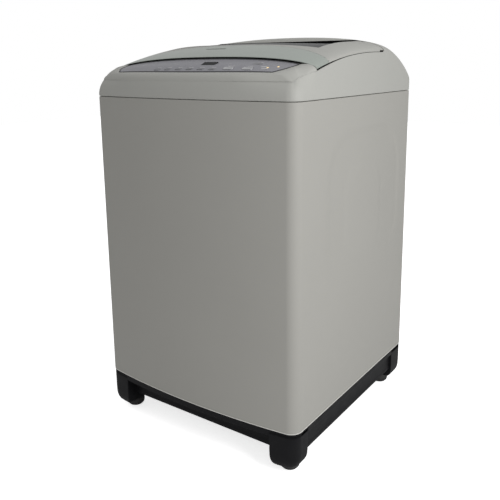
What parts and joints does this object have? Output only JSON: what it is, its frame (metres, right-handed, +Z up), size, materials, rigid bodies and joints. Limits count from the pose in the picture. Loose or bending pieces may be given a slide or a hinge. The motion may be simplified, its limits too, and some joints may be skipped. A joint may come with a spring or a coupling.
{
  "type": "top load washing machine",
  "caption": "Free-standing top load washing machine with hinged lid, hung tub, spinning basket, pulsator, belt drive, detergent drawer and front key panel.",
  "frame": {"origin": "centre of the footprint rectangle, on the floor under the feet", "axes": "+X to the right seen from the front, +Y towards the back, +Z up"},
  "size_m": [0.6, 0.6309, 1.0066],
  "materials": {
    "cabinet_paint": "satin",
    "rear_sheet": "galvanised sheet, dull",
    "base_plastic": "matte moulded",
    "cover_plastic": "fine satin moulded",
    "tray_plastic": "smooth",
    "panel_plastic": "satin lacquer",
    "display_glass": "polished",
    "board": "solder mask",
    "key_plastic": "satin",
    "lid_plastic": "fine satin moulded",
    "grip_plastic": "metallic lacquer",
    "window_glass": "polished, smoked",
    "steel": "zinc plated",
    "rubber": "moulded rubber",
    "white_plastic": "moulded",
    "drawer_plastic": "translucent moulded",
    "tub_plastic": "moulded",
    "basket_steel": "polished stainless",
    "ring_plastic": "smooth",
    "pulsator_plastic": "pearl",
    "cast_alloy": "die cast",
    "motor_paint": "enamelled",
    "plate_steel": "black painted",
    "belt": "fabric faced",
    "hose": "smooth"
  },
  "bodies": {
    "cabinet": {"cabinet": "cabinet_paint", "rear_panel": "rear_sheet", "base_frame": "base_plastic", "top_cover": "cover_plastic", "rear_hood": "cover_plastic", "loading_tray": "tray_plastic", "control_panel": "panel_plastic", "display_window": "display_glass", "control_board": "board", "hinge_brackets": "base_plastic", "inlet_valve": "white_plastic", "inlet_duct": "hose", "dispenser_housing": "white_plastic", "suspension_rods": "steel", "suspension_springs": "steel", "corner_brackets": "plate_steel", "drain_valve": "white_plastic", "drain_hose": "hose", "pressure_switch": "white_plastic", "capacitor": "cast_alloy", "cord_gland": "base_plastic", "rear_feet": "rubber", "cabinet_screws": "steel"},
    "tub": {"outer_tub": "tub_plastic", "tub_cover": "white_plastic", "gearcase": "cast_alloy", "tub_bearings": "steel", "tub_seal": "rubber", "motor": "motor_paint", "drive_belt": "belt", "mounting_plate": "plate_steel", "spring_cups": "white_plastic", "drain_bellows": "hose"},
    "basket": {"basket": "basket_steel", "basket_base": "tub_plastic", "balance_ring": "ring_plastic", "spin_tube": "steel", "lint_filters": "white_plastic"},
    "pulsator": {"pulsator": "pulsator_plastic", "pulsator_screw": "steel", "drive_shaft": "steel"},
    "drive_input": {"drive_pulley": "cast_alloy"},
    "motor_rotor": {"motor_pulley": "cast_alloy"},
    "lid": {"lid_frame": "lid_plastic", "lid_front": "grip_plastic", "lid_window": "window_glass", "hinge_pins": "steel", "lid_bumpers": "rubber"},
    "drawer": {"dispenser_drawer": "drawer_plastic"},
    "left_foot": {"front_foot_left": "rubber"},
    "right_foot": {"front_foot_right": "rubber"},
    "key_1": {"key_1": "key_plastic"},
    "key_2": {"key_2": "key_plastic"},
    "key_3": {"key_3": "key_plastic"},
    "key_4": {"key_4": "key_plastic"},
    "key_5": {"key_5": "key_plastic"},
    "key_6": {"key_6": "key_plastic"},
    "option_key": {"option_key": "key_plastic"},
    "power_button": {"power_button": "key_plastic"},
    "start_button": {"start_button": "key_plastic"}
  },
  "joints": [
    {"name": "lid_hinge", "type": "hinge", "parent": "cabinet", "child": "lid", "pos_m": [0, 0.113, 0.9835], "axis": [-1, 0, 0], "range_deg": [0, 100]},
    {"name": "tub_float", "type": "slide", "parent": "cabinet", "child": "tub", "axis": [0, 0, 1], "range_m": [-0.02, 0.012], "stiffness_N_per_m": 9000, "springref_m": 0.03597, "deforming": ["suspension_springs", "drain_bellows"]},
    {"name": "basket_spin", "type": "hinge", "parent": "tub", "child": "basket", "pos_m": [0, 0, 0.45], "axis": [0, 0, 1], "continuous": true},
    {"name": "pulsator_spin", "type": "hinge", "parent": "basket", "child": "pulsator", "pos_m": [0, 0, 0.3], "axis": [0, 0, 1], "continuous": true},
    {"name": "drive_spin", "type": "hinge", "parent": "tub", "child": "drive_input", "pos_m": [0, 0, 0.11], "axis": [0, 0, 1], "continuous": true},
    {"name": "motor_spin", "type": "hinge", "parent": "tub", "child": "motor_rotor", "pos_m": [-0.165, 0, 0.11], "axis": [0, 0, 1], "continuous": true},
    {"name": "drawer_slide", "type": "slide", "parent": "cabinet", "child": "drawer", "axis": [0, -1, 0], "range_m": [0, 0.08]},
    {"name": "left_foot_thread", "type": "slide", "parent": "cabinet", "child": "left_foot", "axis": [0, 0, -1], "range_m": [0, 0.012]},
    {"name": "right_foot_thread", "type": "slide", "parent": "cabinet", "child": "right_foot", "axis": [0, 0, -1], "range_m": [0, 0.012]},
    {"name": "key_1_press", "type": "slide", "parent": "cabinet", "child": "key_1", "axis": [0, 0.3981, -0.9173], "range_m": [0, 0.001], "stiffness_N_per_m": 400, "springref_m": -0.0005},
    {"name": "key_2_press", "type": "slide", "parent": "cabinet", "child": "key_2", "axis": [0, 0.3981, -0.9173], "range_m": [0, 0.001], "stiffness_N_per_m": 400, "springref_m": -0.0005},
    {"name": "key_3_press", "type": "slide", "parent": "cabinet", "child": "key_3", "axis": [0, 0.3981, -0.9173], "range_m": [0, 0.001], "stiffness_N_per_m": 400, "springref_m": -0.0005},
    {"name": "key_4_press", "type": "slide", "parent": "cabinet", "child": "key_4", "axis": [0, 0.3981, -0.9173], "range_m": [0, 0.001], "stiffness_N_per_m": 400, "springref_m": -0.0005},
    {"name": "key_5_press", "type": "slide", "parent": "cabinet", "child": "key_5", "axis": [0, 0.3981, -0.9173], "range_m": [0, 0.001], "stiffness_N_per_m": 400, "springref_m": -0.0005},
    {"name": "key_6_press", "type": "slide", "parent": "cabinet", "child": "key_6", "axis": [0, 0.3981, -0.9173], "range_m": [0, 0.001], "stiffness_N_per_m": 400, "springref_m": -0.0005},
    {"name": "option_key_press", "type": "slide", "parent": "cabinet", "child": "option_key", "axis": [0, 0.3981, -0.9173], "range_m": [0, 0.001], "stiffness_N_per_m": 400, "springref_m": -0.0005},
    {"name": "power_button_press", "type": "slide", "parent": "cabinet", "child": "power_button", "axis": [0, 0.3981, -0.9173], "range_m": [0, 0.001], "stiffness_N_per_m": 400, "springref_m": -0.0005},
    {"name": "start_button_press", "type": "slide", "parent": "cabinet", "child": "start_button", "axis": [0, 0.3981, -0.9173], "range_m": [0, 0.001], "stiffness_N_per_m": 400, "springref_m": -0.0005}
  ],
  "couplings": [
    {"joint": "drive_spin", "follows": "pulsator_spin", "ratio": 5},
    {"joint": "motor_spin", "follows": "pulsator_spin", "ratio": 17.046}
  ]
}
